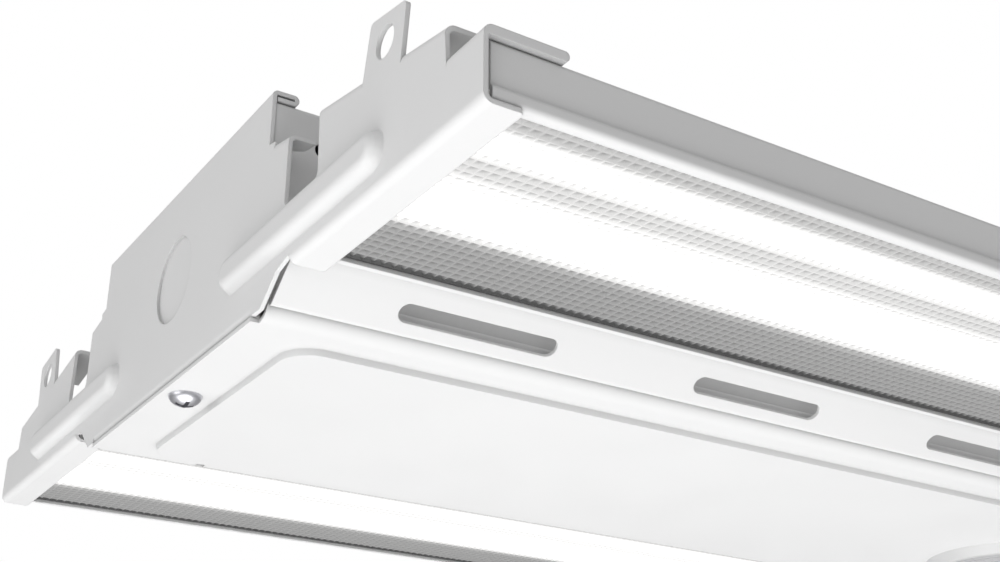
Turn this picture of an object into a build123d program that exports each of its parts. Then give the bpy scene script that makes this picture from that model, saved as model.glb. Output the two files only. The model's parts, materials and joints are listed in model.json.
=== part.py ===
from build123d import *
import math
import os

# A linear high bay light, hanging level with its lenses facing down.
# X runs along the light, Y across it and Z up. Z = 0 is the lowest point of the sensor's dome.
# Both halves are alike, so most pieces are drawn on the rear side, +Y, and mirrored to the front.

# Overall size and sheet metal
length = 596.0
width = 284.0
sheet = 1.0
fold_radius = 1.0
end_gap = 1.0

# Sensor and cover levels, from the lowest point up
dome_drop = 3.2
bezel_drop = 3.0
panel_drop = 1.6
cover_z = dome_drop + bezel_drop + panel_drop
cover_width = 110.0
cover_edge_radius = 4.0
cover_edge_height = 5.5
panel_end_margin = 12.9
panel_width = 90.0
panel_corner = 8.0
panel_taper = 12.0
edge_slot_inset = 30.0
edge_slot_length = 2.4
edge_slot_depth = 3.6
edge_slot_rim = 1.4

# Driver housing
housing_gap = 0.2
housing_width = cover_width - 2 * sheet - 2 * housing_gap
housing_height = 48.5
housing_fold = 0.1
wall_hole_radius = 1.8
wall_hole_inset = 12.8
wall_hole_drop = 9.2
housing_z = cover_z + cover_edge_radius
housing_top = housing_z + housing_height

# Wing levels and pans
wing_rise = 6.5
wing_z = cover_z + wing_rise
pan_z = wing_z + sheet
pan_height = 12.4
pan_top = pan_z + pan_height
pan_setback = 1.0
vent_span = 16.0
pan_fold = 0.15
pan_lip = 2.4
rim_step = 0.7
rim_ledge = 0.4
rim_height = 2.9
pan_outer = width / 2 - pan_setback
pan_inner = cover_width / 2 + vent_span
pan_middle = (pan_inner + pan_outer) / 2

# Vent panels
vent_rise = 6.5
vent_top_lip = 3.2
vent_gap = 0.2
vent_seat_gap = 0.1
vent_fold = 0.1
vent_lip = 5.8
vent_wall_lip = 6.9
slot_pitch = 82.5
slot_length = 41.3
slot_width = 4.8
slot_place = 0.36
slot_end_margin = 20.0

# End plates
wing_flange_overlap = 2.5
wing_flange_depth = 8.1
flange_sweep = 5.9
flange_corner = 1.0
notch_corner = 2.0
corner_hem_width = 12.0
corner_hem_depth = 17.5
corner_hem_round = 0.9
gusset_rise = 6.8
gusset_angle = 9.9
gusset_flange_depth = 7.2
tab_start = 16.7
tab_root = 15.4
tab_tip = 14.2
tab_height = 11.2
tab_corner = 1.2
tab_relief = 0.2
hang_hole_radius = 3.57
hang_hole_height = 5.0
notch_width = 15.6
shoulder_reach = 10.4
notch_margin = 1.0
shoulder_height = 18.0
shoulder_angle = 11.4
shoulder_flange_depth = 6.4
shoulder_flange_length = 7.4
shoulder_flange_cut = 1.7
top_hem_depth = 6.4
top_hem_gap = 0.6
top_hem_return = 5.2
top_hem_fold = 0.25
floor_flange_depth = 12.0
rib_height = 9.2
rib_depth = 2.7
rib_taper = 30.0
rib_crown = 2.4
rib_outer = 34.0
rib_length = 73.0
rib_rise = 8.6
knockout_radius = 11.1
knockout_height = 28.0
knockout_push = 0.8

# Lenses
lens_thickness = 1.8
prism_height = 1.0
prism_pitch = 2.4
lens_border = 1.6
lens_gap = 0.75

# LED boards
board_end_gap = 18.0
board_width = 20.0
board_thickness = 1.6
row_offset = 12.5
chip_size = 3.0
chip_height = 0.8
chip_pitch = 20.0
chip_end_gap = 1.0
board_screw_gaps = (0, 9)
connector_length = 6.0
connector_width = 8.0
connector_height = 4.0
connector_inset = 1.0
jumper_radius = 1.0

# Screws: head radius, head height and shank radius
pan_head = (2.75, 1.8)
thread_radius = 1.5
thread_tail = 1.5
cover_head = (4.0, 2.6)
cover_thread_radius = 2.0
cover_screw_inset = 5.8
cover_screw_length = 6.2
head_rounding = 0.8
recess_width = 0.9
recess_span = 4.4
recess_depth = 1.3
hole_clearance = 0.1

# LED driver
driver_length = 210.0
driver_width = 62.0
driver_height = 30.0
driver_wall = 1.0
base_thickness = 1.2
base_foot = 12.0
foot_screw_y = 22.0
driver_board_drop = 5.6
driver_board_margin = 3.0
post_radius = 3.0
post_inset = 9.0
terminal_length = 10.0
terminal_width = 18.0
terminal_height = 9.0
terminal_proud = 1.0
capacitor_radius = 8.0
capacitor_height = 18.0
capacitor_places = ((45.0, -12.0), (64.0, 12.0), (175.0, 10.0))
core_size = (32.0, 28.0, 18.0)
core_place = 105.0
core_leg = 10.0
core_wall = 4.0
coil_height = 10.0
coil_proud = 5.0

# Terminal block, ground screw and wires
block_x = 100.0
block_length = 40.0
block_width = 24.0
block_height = 12.0
ear_width = 7.0
ear_thickness = 2.0
pole_pitch = 8.0
block_hole_radius = 1.9
block_hole_depth = 2.0
ground_gap = 20.0
ground_y = 25.0
ground_thread_radius = 2.0
ground_head = (3.6, 2.6)
lug_radius = 4.2
wire_radius = 1.3
cable_radius = 1.5
cable_turn = 10.0
wire_turn = 8.0
wire_lead = 0.3
sensor_wire_rise = 12.0
cable_dip_turn = 3.5
cable_lead = 31.0
driver_pole = 5.0
bushing_radius = 3.5
bushing_flange = 4.6
bushing_flange_height = 1.2
bushing_tail = 0.2
wire_clearance = 0.2

# Sensor
bezel_radius = 25.0
bezel_tip_radius = 22.2
bezel_round = 0.6
sensor_radius = 19.6
sensor_height = 21.4
sensor_wall = 2.0
lens_rim_radius = 20.5
lens_rim_height = 1.0
lens_recess = 0.4
dome_thickness = 1.5
nut_radius = 24.0
nut_height = 4.0
nut_sides = 12
sensor_board_radius = 17.4
sensor_board_drop = 7.8
ledge_width = 1.6
detector_radius = 4.5
detector_height = 5.0

# Worked out from the sizes above
half = length / 2
inner_end = half - sheet - end_gap
set_back = fold_radius + sheet
wing_top = pan_top + 2 * sheet
centre_floor = cover_z + sheet
top_hem_height = 2 * sheet + top_hem_gap
plate_top = housing_top + top_hem_height
centre_half = housing_width / 2 + housing_gap
shoulder_half = centre_half + shoulder_reach
notch_outer = shoulder_half + notch_width
rib_z = wing_z + rib_rise
notch_floor = rib_z + rib_height / 2 + notch_margin
gusset_start = width / 2 - corner_hem_width
gusset_width = gusset_start - notch_outer
flange_end = pan_inner - wing_flange_overlap
tan_gusset = math.tan(math.radians(gusset_angle))
tan_shoulder = math.tan(math.radians(shoulder_angle))
vent_high = (pan_inner - vent_seat_gap, pan_z + vent_rise)
vent_low = (cover_width / 2 + vent_gap, centre_floor)
vent_slope = (vent_high[1] - vent_low[1]) / (vent_high[0] - vent_low[0])
lens_z = pan_z + sheet
slot_count = 1 + int((2 * (inner_end - slot_end_margin) - slot_length) / slot_pitch)
board_length = length - 2 * board_end_gap
connector_x = -board_length / 2 + connector_inset + connector_length / 2
chip_room = board_length - 2 * (connector_inset + connector_length + chip_end_gap) - chip_size
chip_count = 1 + int(chip_room / chip_pitch)
cable_x = -connector_x
cable_drop_y = (pan_inner + pan_middle - row_offset - board_width / 2) / 2
board_top = pan_top - sheet
board_z = board_top - board_thickness
driver_left = cable_lead - cable_x
driver_right = driver_left + driver_length
base_z = housing_top - sheet - base_thickness
case_z = base_z - driver_height
driver_board_top = base_z - driver_board_drop
driver_board_z = driver_board_top - board_thickness
wire_z = driver_board_z - terminal_height / 2
block_z = housing_top - sheet - block_height
pole_z = block_z + block_height / 2
connector_z = board_z - connector_height / 2


def block(x, y, z):
    # a plain block between two limits along each axis
    middle = [(low + high) / 2 for low, high in (x, y, z)]
    return Pos(*middle) * Box(x[1] - x[0], y[1] - y[0], z[1] - z[0])


def rod(start, axis, radius, height):
    frame = Plane(origin=start, z_dir=axis)
    return frame * Cylinder(radius, height, align=(Align.CENTER, Align.CENTER, Align.MIN))


def outline(points, rounds=()):
    # a closed flat outline with some corners rounded, each given as its index and radius
    face = make_face(Polyline(*points, close=True))
    for index, radius in rounds:
        corner = face.vertices().sort_by_distance((*points[index], 0))[0]
        face = fillet(corner, radius)
    return face


def parallel(points, distance):
    # a run of points moved sideways, to its left for a positive distance
    runs = [Vector(*after) - Vector(*before) for before, after in zip(points, points[1:])]
    sides = [Vector(-run.Y, run.X).normalized() for run in runs]
    moved = [Vector(*points[0]) + sides[0] * distance]
    for point, before, after in zip(points[1:], sides, sides[1:]):
        moved.append(Vector(*point) + (before + after) * (distance / (1 + before.dot(after))))
    moved.append(Vector(*points[-1]) + sides[-1] * distance)
    return [(point.X, point.Y) for point in moved]


def folded(points, radius, thickness):
    # the section of a bent sheet: points follow one face and the metal lies on their left,
    # or on their right for a negative thickness; radius is the inside of each bend
    loop = points + parallel(points, thickness)[::-1]
    rounds = []
    for i in range(1, len(points) - 1):
        before, here, after = points[i - 1 : i + 2]
        turn = (here[0] - before[0]) * (after[1] - here[1]) - (here[1] - before[1]) * (after[0] - here[0])
        outer = radius + abs(thickness)
        near, far = (outer, radius) if turn * thickness > 0 else (radius, outer)
        rounds += [(i, near), (len(loop) - 1 - i, far)]
    return outline(loop, rounds)


def along_x(section, start, end):
    return extrude(Plane.YZ.offset(start) * section, amount=end - start)


def edge_fold(section, start, end, outward):
    # a folded edge of the end plate: the section's x points into the light
    # and its y points outward, away from the plate's middle
    along = Vector(*end) - Vector(*start)
    if along.cross(Vector(1, 0, 0)).dot(Vector(*outward)) < 0:
        start, along = end, along * -1
    frame = Plane(origin=start, x_dir=(1, 0, 0), z_dir=along)
    return extrude(frame * section, amount=along.length)


def wire(points, radius, turns):
    path = FilletPolyline(*points, radius=turns)
    frame = Plane(origin=points[0], z_dir=path % 0)
    return sweep(frame * Circle(radius), path=path)


def screw(place, axis, head, shank_radius, reach):
    # a domed head below its seat and a shank that runs up from the seat by its reach
    head_radius, head_height = head
    seat = Vector(*place)
    up = Vector(*axis)
    cap = rod(seat, up * -1, head_radius, head_height)
    cap = fillet(cap.edges().sort_by_distance(seat - up * head_height)[0], head_height * head_rounding)
    return cap + rod(seat, up, shank_radius, reach)


def both_sides(shape):
    return shape, mirror(shape, about=Plane.XZ)


# End plates


def slope_point(foot, degrees, step, lift):
    # a point on a sloped top edge: step inward along the slope from its foot, lift square to it
    angle = math.radians(degrees)
    y = foot[0] - step * math.cos(angle) + lift * math.sin(angle)
    return y, foot[1] + step * math.sin(angle) + lift * math.cos(angle)


def gusset_point(step, lift=0.0):
    return slope_point((gusset_start, wing_top + gusset_rise), gusset_angle, step, lift)


def shoulder_point(step, lift=0.0):
    return slope_point((shoulder_half, notch_floor + shoulder_height), shoulder_angle, step, lift)


def vent_line(y):
    # the height of the vent panel's lower face
    return vent_low[1] + (y - vent_low[0]) * vent_slope


def half_plate():
    # the flat half of the plate, without its folds and its tab
    gusset_end = gusset_width / math.cos(math.radians(gusset_angle))
    shoulder_end = shoulder_reach / math.cos(math.radians(shoulder_angle))
    sweep_start = flange_end - flange_sweep
    points = [
        (0, centre_floor + set_back),
        (cover_width / 2 - cover_edge_radius, centre_floor + set_back),
        (cover_width / 2 - cover_edge_radius, vent_line(vent_low[0] + vent_gap)),
        (vent_low[0] + vent_gap, vent_line(vent_low[0] + vent_gap)),
        (sweep_start, vent_line(sweep_start)),
        (flange_end, wing_z + set_back),
        (width / 2, wing_z + set_back),
        (width / 2, pan_top - sheet),
        (gusset_start, pan_top - sheet),
        gusset_point(set_back * tan_gusset, -set_back),
        gusset_point(gusset_end + set_back * tan_gusset, -set_back),
        (notch_outer, notch_floor),
        (shoulder_half, notch_floor),
        shoulder_point(-set_back * tan_shoulder, -set_back),
        shoulder_point(shoulder_flange_length, -set_back),
        shoulder_point(shoulder_flange_length),
        shoulder_point(shoulder_end),
        (centre_half, plate_top - set_back),
        (0, plate_top - set_back),
    ]
    flat = outline(points, [(11, notch_corner), (12, notch_corner)])
    return along_x(flat, 0, sheet)


def wing_floor_fold():
    section = folded([(0, -set_back), (0, 0), (wing_flange_depth, 0)], fold_radius, -sheet)
    ends = [(0, y, wing_z) for y in (flange_end, width / 2)]
    fold = edge_fold(section, *ends, (0, 0, -1))
    return fillet(fold.edges().filter_by(Axis.Z).group_by(Axis.X)[-1], flange_corner)


def corner_hem():
    # two layers pressed flat, with a round end
    low = -2 * sheet
    points = [
        (0, low - sheet),
        (0, 0),
        (corner_hem_depth, 0),
        (corner_hem_depth, low),
        (sheet, low),
        (sheet, low - sheet),
    ]
    section = outline(points, [(1, set_back), (2, corner_hem_round), (3, corner_hem_round)])
    ends = [(0, y, wing_top) for y in (gusset_start, width / 2)]
    return edge_fold(section, *ends, (0, 0, 1))


def gusset_folds():
    section = folded([(0, -set_back), (0, 0), (gusset_flange_depth, 0)], fold_radius, -sheet)
    angle = math.radians(gusset_angle)
    outward = (0, math.sin(angle), math.cos(angle))
    stop = gusset_width / math.cos(angle) + set_back * tan_gusset
    runs = ((set_back * tan_gusset, tab_start - tab_relief), (tab_start + tab_root + tab_relief, stop))
    folds = []
    for start, end in runs:
        ends = [(0, *gusset_point(step)) for step in (start, end)]
        folds.append(edge_fold(section, *ends, outward))
    return folds


def hang_tab():
    tip_start = tab_start + (tab_root - tab_tip) / 2
    points = [
        gusset_point(tab_start, -set_back),
        gusset_point(tip_start, tab_height),
        gusset_point(tip_start + tab_tip, tab_height),
        gusset_point(tab_start + tab_root, -set_back),
    ]
    return along_x(outline(points, [(1, tab_corner), (2, tab_corner)]), 0, sheet)


def hang_hole():
    middle = tab_start + tab_root / 2
    return rod((-sheet, *gusset_point(middle, hang_hole_height)), (1, 0, 0), hang_hole_radius, 3 * sheet)


def shoulder_fold():
    # the flange along the centre's shoulder: its inner corner is cut off and it ends at the plate's side edge
    section = folded([(0, -set_back), (0, 0), (shoulder_flange_depth, 0)], fold_radius, -sheet)
    angle = math.radians(shoulder_angle)
    ends = [(0, *shoulder_point(step)) for step in (-set_back * tan_shoulder, shoulder_flange_length)]
    fold = edge_fold(section, *ends, (0, math.sin(angle), math.cos(angle)))
    corner = fold.edges().group_by(Axis.X)[-1].sort_by(Axis.Y)[0]
    fold = chamfer(corner, shoulder_flange_cut)
    past = (shoulder_half, shoulder_half + set_back)
    return fold - block((-sheet, shoulder_flange_depth + sheet), past, (notch_floor, plate_top))


def wall_inset(taper):
    # how much narrower a sheet's inner face is than its outer face on a tapered emboss
    angle = math.radians(taper)
    return sheet * (1 - math.sin(angle)) / math.cos(angle)


def rib(lift, narrower):
    # a pressed rib as a raised pad: lift moves it along X, narrower shrinks its outline
    middle = width / 2 - rib_outer - rib_length / 2
    frame = Plane(origin=(lift, middle, rib_z), x_dir=(0, 1, 0), z_dir=(-1, 0, 0))
    pad = SlotOverall(rib_length - 2 * narrower, rib_height - 2 * narrower)
    raised = extrude(frame * pad, amount=rib_depth, taper=rib_taper)
    crown = raised.faces().sort_by(Axis.X)[0]
    return fillet(crown.edges(), rib_crown)


def pressed_rib(plate):
    middle = width / 2 - rib_outer - rib_length / 2
    frame = Plane(origin=(0, middle, rib_z), x_dir=(0, 1, 0), z_dir=(1, 0, 0))
    inside = wall_inset(rib_taper)
    mouth = extrude(frame * SlotOverall(rib_length - 2 * inside, rib_height - 2 * inside), amount=sheet)
    return plate + rib(0, 0) - rib(sheet, inside) - mouth


def top_hem():
    points = [
        (0, -set_back),
        (0, 0),
        (top_hem_depth, 0),
        (top_hem_depth, -top_hem_height),
        (top_hem_depth - top_hem_return, -top_hem_height),
    ]
    section = folded(points, top_hem_fold, -sheet)
    return edge_fold(section, (0, 0, plate_top), (0, centre_half, plate_top), (0, 0, 1))


def floor_fold():
    section = folded([(0, -set_back), (0, 0), (floor_flange_depth, 0)], fold_radius, -sheet)
    end = cover_width / 2 - cover_edge_radius
    return edge_fold(section, (0, 0, centre_floor), (0, end, centre_floor), (0, 0, -1))


def knockout(plate):
    # the slug is sheared most of the way through and stays held by its rim
    centre = (0, 0, centre_floor + knockout_height)
    plate -= rod(centre, (1, 0, 0), knockout_radius, knockout_push)
    return plate + rod((knockout_push, 0, centre[2]), (1, 0, 0), knockout_radius, sheet)


def end_plate():
    plate = half_plate() + hang_tab() + wing_floor_fold() + corner_hem() + shoulder_fold()
    for fold in gusset_folds():
        plate += fold
    plate = plate + top_hem() + floor_fold() - hang_hole()
    plate = pressed_rib(plate)
    whole = plate + mirror(plate, about=Plane.XZ)
    whole = knockout(whole)
    hole = rod((cover_screw_inset, 0, cover_z), (0, 0, 1), cover_thread_radius + hole_clearance, 3 * sheet)
    return Pos(-half, 0, 0) * (whole - hole)


# Pans, vent panels, housing and cover


def screw_places():
    # along the boards, each midway in a gap between two chips, counted from the ends
    first = -chip_pitch * (chip_count - 1) / 2
    left = [first + chip_pitch * (gap + 0.5) for gap in board_screw_gaps]
    return left + [-x for x in left[::-1]]


def rows():
    return pan_middle - row_offset, pan_middle + row_offset


def wing_pan():
    points = [
        (pan_outer + rim_step - pan_lip, pan_z),
        (pan_outer + rim_step, pan_z),
        (pan_outer + rim_step, pan_z + rim_height),
        (pan_outer, pan_z + rim_height + rim_ledge),
        (pan_outer, pan_top),
        (pan_inner, pan_top),
        (pan_inner, pan_z),
        (pan_inner + pan_lip, pan_z),
    ]
    pan = along_x(folded(points, pan_fold, sheet), -inner_end, inner_end)
    for y in rows():
        for x in screw_places():
            pan -= rod((x, y, board_top - sheet), (0, 0, 1), thread_radius + hole_clearance, 3 * sheet)
    return pan - rod((-cable_x, cable_drop_y, board_top - sheet), (0, 0, 1), bushing_radius, 3 * sheet)


def vent_panel():
    wall = housing_width / 2 + vent_seat_gap
    points = [
        (vent_high[0], vent_high[1] + vent_top_lip),
        vent_high,
        vent_low,
        (vent_low[0], vent_low[1] + vent_lip),
        (wall, vent_low[1] + vent_lip),
        (wall, vent_low[1] + vent_lip + vent_wall_lip),
    ]
    panel = along_x(folded(points, vent_fold, -sheet), -inner_end, inner_end)
    y = vent_low[0] + (vent_high[0] - vent_low[0]) * slot_place
    across = Vector(0, 1, vent_slope).normalized()
    for k in range(slot_count):
        x = (k - (slot_count - 1) / 2) * slot_pitch
        frame = Plane(origin=(x, y, vent_line(y)), x_dir=(1, 0, 0), z_dir=Vector(1, 0, 0).cross(across))
        panel -= extrude(frame * SlotOverall(slot_length, slot_width), amount=2 * sheet, both=True)
    return panel


def driver_housing():
    # it stands against both end plates, and each wall has a hole near each end
    side = housing_width / 2
    points = [(side, housing_z), (side, housing_top), (-side, housing_top), (-side, housing_z)]
    housing = along_x(folded(points, housing_fold, sheet), sheet - half, half - sheet)
    hole_x = half - wall_hole_inset
    for y in (-side - sheet, side - 2 * sheet):
        housing -= rod((-cable_x, y, wire_z), (0, 1, 0), bushing_radius, 3 * sheet)
        for x in (-hole_x, hole_x):
            housing -= rod((x, y, housing_top - wall_hole_drop), (0, 1, 0), wall_hole_radius, 3 * sheet)
    top = housing_top - 2 * sheet
    for x in (driver_left - base_foot / 2, driver_right + base_foot / 2):
        for y in (-foot_screw_y, foot_screw_y):
            housing -= rod((x, y, top), (0, 0, 1), thread_radius + hole_clearance, 3 * sheet)
    for y in block_screw_rows():
        housing -= rod((block_middle(), y, top), (0, 0, 1), thread_radius + hole_clearance, 3 * sheet)
    ground = (ground_x(), ground_y, top)
    return housing - rod(ground, (0, 0, 1), ground_thread_radius + hole_clearance, 3 * sheet)


def panel_pad(lift, narrower):
    # the cover's embossed panel as a low pad that tapers downward
    frame = Plane(origin=(0, 0, cover_z + lift), x_dir=(1, 0, 0), z_dir=(0, 0, -1))
    long_side = length - 2 * panel_end_margin - 2 * narrower
    wide_side = panel_width - 2 * narrower
    pad = RectangleRounded(long_side, wide_side, panel_corner - narrower)
    return extrude(frame * pad, amount=panel_drop, taper=panel_taper)


def driver_cover():
    side = cover_width / 2
    points = [
        (-side, cover_z + cover_edge_height),
        (-side, cover_z),
        (side, cover_z),
        (side, cover_z + cover_edge_height),
    ]
    cover = along_x(folded(points, cover_edge_radius - sheet, sheet), -half, half)
    pocket = panel_pad(sheet, wall_inset(panel_taper))
    cover = cover + panel_pad(0, 0) - pocket
    hole_z = cover_z - panel_drop - sheet
    cover -= rod((0, 0, hole_z), (0, 0, 1), sensor_radius + wire_clearance, 4 * sheet)
    for x in (-half + cover_screw_inset, half - cover_screw_inset):
        cover -= rod((x, 0, hole_z), (0, 0, 1), cover_thread_radius + hole_clearance, 4 * sheet)
        # the rolled edges stop short of the end plates
        corner = (math.copysign(inner_end, x), math.copysign(half + sheet, x))
        for y in (-side, side):
            flat_end = math.copysign(side - cover_edge_radius, y)
            span = (min(flat_end, y * 2), max(flat_end, y * 2))
            cover -= block((min(corner), max(corner)), span, (0, cover_z + 2 * cover_edge_height))
        # a small slot through the rear bend, behind which the housing is dark
        slot_x = math.copysign(half - edge_slot_inset, x)
        ends = (slot_x - edge_slot_length / 2, slot_x + edge_slot_length / 2)
        slot_end = side - edge_slot_rim
        cover -= block(ends, (slot_end - edge_slot_depth, slot_end), (0, cover_z + cover_edge_radius))
    return cover


def cover_screw(x):
    body = screw((x, 0, cover_z), (0, 0, 1), cover_head, cover_thread_radius, cover_screw_length)
    low = cover_z - cover_head[1]
    for size in ((recess_span, recess_width), (recess_width, recess_span)):
        body -= block(
            (x - size[0] / 2, x + size[0] / 2),
            (-size[1] / 2, size[1] / 2),
            (low, low + recess_depth),
        )
    return body


# Lenses and LED boards


def lens():
    low = pan_inner + sheet + lens_gap
    high = pan_outer - sheet + rim_step - lens_gap
    count = int((high - low - 2 * lens_border) / prism_pitch)
    start = (low + high - count * prism_pitch) / 2
    points = [(low, lens_z + lens_thickness), (low, lens_z), (start, lens_z)]
    for k in range(count):
        points.append((start + (k + 0.5) * prism_pitch, lens_z + prism_height))
        points.append((start + (k + 1) * prism_pitch, lens_z))
    points += [(high, lens_z), (high, lens_z + lens_thickness)]
    return along_x(outline(points), -inner_end, inner_end)


def led_board(y):
    board = block(
        (-board_length / 2, board_length / 2),
        (y - board_width / 2, y + board_width / 2),
        (board_z, board_top),
    )
    for x in screw_places():
        board -= rod((x, y, board_z - sheet), (0, 0, 1), thread_radius + hole_clearance, 4 * sheet)
    return board


def led_chips(y):
    first = -chip_pitch * (chip_count - 1) / 2
    chips = []
    for k in range(chip_count):
        x = first + k * chip_pitch
        chips.append(
            block(
                (x - chip_size / 2, x + chip_size / 2),
                (y - chip_size / 2, y + chip_size / 2),
                (board_z - chip_height, board_z),
            )
        )
    return chips


def board_screws(y):
    reach = board_thickness + sheet + thread_tail
    return [screw((x, y, board_z), (0, 0, 1), pan_head, thread_radius, reach) for x in screw_places()]


def board_connector(y):
    return block(
        (connector_x - connector_length / 2, connector_x + connector_length / 2),
        (y - connector_width / 2, y + connector_width / 2),
        (board_z - connector_height, board_z),
    )


def board_jumper():
    inner, outer = rows()
    start = (connector_x, inner + connector_width / 2, connector_z)
    return rod(start, (0, 1, 0), jumper_radius, outer - inner - connector_width)


# LED driver


def driver_case():
    x = (driver_left, driver_right)
    y = (-driver_width / 2, driver_width / 2)
    inside_x = (x[0] + driver_wall, x[1] - driver_wall)
    inside_y = (y[0] + driver_wall, y[1] - driver_wall)
    case = block(x, y, (case_z, base_z)) - block(inside_x, inside_y, (case_z + driver_wall, base_z + sheet))
    window_y = (-terminal_width / 2 - housing_gap, terminal_width / 2 + housing_gap)
    window_z = (driver_board_z - terminal_height - housing_gap, driver_board_z + housing_gap)
    for end in x:
        case -= block((end - 2 * driver_wall, end + 2 * driver_wall), window_y, window_z)
    return case


def driver_base():
    base = block(
        (driver_left - base_foot, driver_right + base_foot),
        (-driver_width / 2, driver_width / 2),
        (base_z, base_z + base_thickness),
    )
    for x, y in foot_screws():
        base -= rod((x, y, base_z - sheet), (0, 0, 1), thread_radius + hole_clearance, 4 * sheet)
    return base


def foot_screws():
    ends = (driver_left - base_foot / 2, driver_right + base_foot / 2)
    return [(x, y) for x in ends for y in (-foot_screw_y, foot_screw_y)]


def driver_screws():
    reach = base_thickness + sheet + thread_tail
    return [screw((x, y, base_z), (0, 0, 1), pan_head, thread_radius, reach) for x, y in foot_screws()]


def driver_board():
    inset = driver_wall + driver_board_margin
    return block(
        (driver_left + inset, driver_right - inset),
        (-driver_width / 2 + inset, driver_width / 2 - inset),
        (driver_board_z, driver_board_top),
    )


def driver_posts():
    ends = (driver_left + post_inset, driver_right - post_inset)
    sides = (-driver_width / 2 + post_inset, driver_width / 2 - post_inset)
    return [rod((x, y, driver_board_top), (0, 0, 1), post_radius, driver_board_drop) for x in ends for y in sides]


def driver_terminals():
    side = (-terminal_width / 2, terminal_width / 2)
    level = (driver_board_z - terminal_height, driver_board_z)
    left = (driver_left - terminal_proud, driver_left - terminal_proud + terminal_length)
    right = (driver_right + terminal_proud - terminal_length, driver_right + terminal_proud)
    return [block(left, side, level), block(right, side, level)]


def driver_capacitors():
    cans = []
    for step, y in capacitor_places:
        can = rod((driver_left + step, y, driver_board_z), (0, 0, -1), capacitor_radius, capacitor_height)
        cans.append(can)
    return cans


def centre_leg():
    # the transformer's middle leg, which the coil is wound around
    x = driver_left + core_place
    middle_z = driver_board_z - core_size[2] / 2
    level = (middle_z - coil_height / 2, middle_z + coil_height / 2)
    return block((x - core_leg / 2, x + core_leg / 2), (-core_size[1] / 2, core_size[1] / 2), level)


def driver_coil():
    leg = centre_leg()
    box = leg.bounding_box()
    x = driver_left + core_place
    reach_x = core_size[0] / 2 - core_wall
    reach_y = core_size[1] / 2 + coil_proud
    coil = block((x - reach_x, x + reach_x), (-reach_y, reach_y), (box.min.Z, box.max.Z))
    coil = fillet(coil.edges().filter_by(Axis.Z), coil_proud / 2)
    return coil - leg


def driver_core():
    x = driver_left + core_place
    core = block(
        (x - core_size[0] / 2, x + core_size[0] / 2),
        (-core_size[1] / 2, core_size[1] / 2),
        (driver_board_z - core_size[2], driver_board_z),
    )
    reach_x = core_size[0] / 2 - core_wall
    middle_z = driver_board_z - core_size[2] / 2
    windows = block(
        (x - reach_x, x + reach_x),
        (-core_size[1], core_size[1]),
        (middle_z - coil_height / 2, middle_z + coil_height / 2),
    )
    return core - windows + centre_leg()


# Terminal block, ground and wires


def block_middle():
    return block_x + block_length / 2


def block_screw_rows():
    side = block_width / 2 + ear_width / 2
    return -side, side


def ground_x():
    return block_x + block_length + ground_gap


def terminal_block():
    top = housing_top - sheet
    body = block((block_x, block_x + block_length), (-block_width / 2, block_width / 2), (block_z, top))
    ear_x = (block_middle() - ear_width / 2, block_middle() + ear_width / 2)
    ear_y = (-block_width / 2 - ear_width, block_width / 2 + ear_width)
    body += block(ear_x, ear_y, (top - ear_thickness, top))
    for y in block_screw_rows():
        hole = (block_middle(), y, top - ear_thickness - sheet)
        body -= rod(hole, (0, 0, 1), thread_radius + hole_clearance, ear_thickness + 2 * sheet)
    for k in (-1, 0, 1):
        for x, way in ((block_x, 1), (block_x + block_length, -1)):
            body -= rod((x, k * pole_pitch, pole_z), (way, 0, 0), block_hole_radius, block_hole_depth)
    return body


def block_screws():
    seat = housing_top - sheet - ear_thickness
    reach = ear_thickness + sheet + thread_tail
    return [
        screw((block_middle(), y, seat), (0, 0, 1), pan_head, thread_radius, reach)
        for y in block_screw_rows()
    ]


def mains_wires():
    # from the driver's right terminal to the bottom of the block's entries
    wires = []
    start_x = driver_right + terminal_proud
    end_x = block_x + block_hole_depth
    span = end_x - start_x
    for near, far in ((-driver_pole, -pole_pitch), (driver_pole, 0)):
        points = [
            (start_x, near, wire_z),
            (start_x + span * wire_lead, near, wire_z),
            (end_x - span * wire_lead, far, pole_z),
            (end_x, far, pole_z),
        ]
        wires.append(wire(points, wire_radius, cable_turn))
    return wires


def sensor_wire():
    start_z = sensor_top()
    low = start_z + sensor_wire_rise
    far = pole_pitch
    end_x = block_x + block_hole_depth
    points = [
        (0, 0, start_z),
        (0, 0, low),
        (end_x - 4 * cable_turn, far, low),
        (end_x - 2 * cable_turn, far, pole_z),
        (end_x, far, pole_z),
    ]
    return wire(points, wire_radius, wire_turn)


def ground_wire():
    seat = housing_top - sheet
    start_x = block_x + block_length - block_hole_depth
    lug_z = seat - wire_radius
    lug_start = ground_y - lug_radius - 2 * wire_radius
    points = [
        (start_x, 0, pole_z),
        (ground_x(), 0, pole_z),
        (ground_x(), lug_start, lug_z),
    ]
    lead = wire(points, wire_radius, wire_turn)
    neck = block(
        (ground_x() - wire_radius, ground_x() + wire_radius),
        (lug_start - wire_radius, ground_y - ground_thread_radius - sheet),
        (seat - sheet, seat),
    )
    ring = rod((ground_x(), ground_y, seat - sheet), (0, 0, 1), lug_radius, sheet)
    bore = rod((ground_x(), ground_y, seat - 2 * sheet), (0, 0, 1), ground_thread_radius + hole_clearance, 3 * sheet)
    return lead + neck + ring - bore


def ground_screw():
    seat = (ground_x(), ground_y, housing_top - 2 * sheet)
    return screw(seat, (0, 0, 1), ground_head, ground_thread_radius, 2 * sheet + thread_tail)


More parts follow.
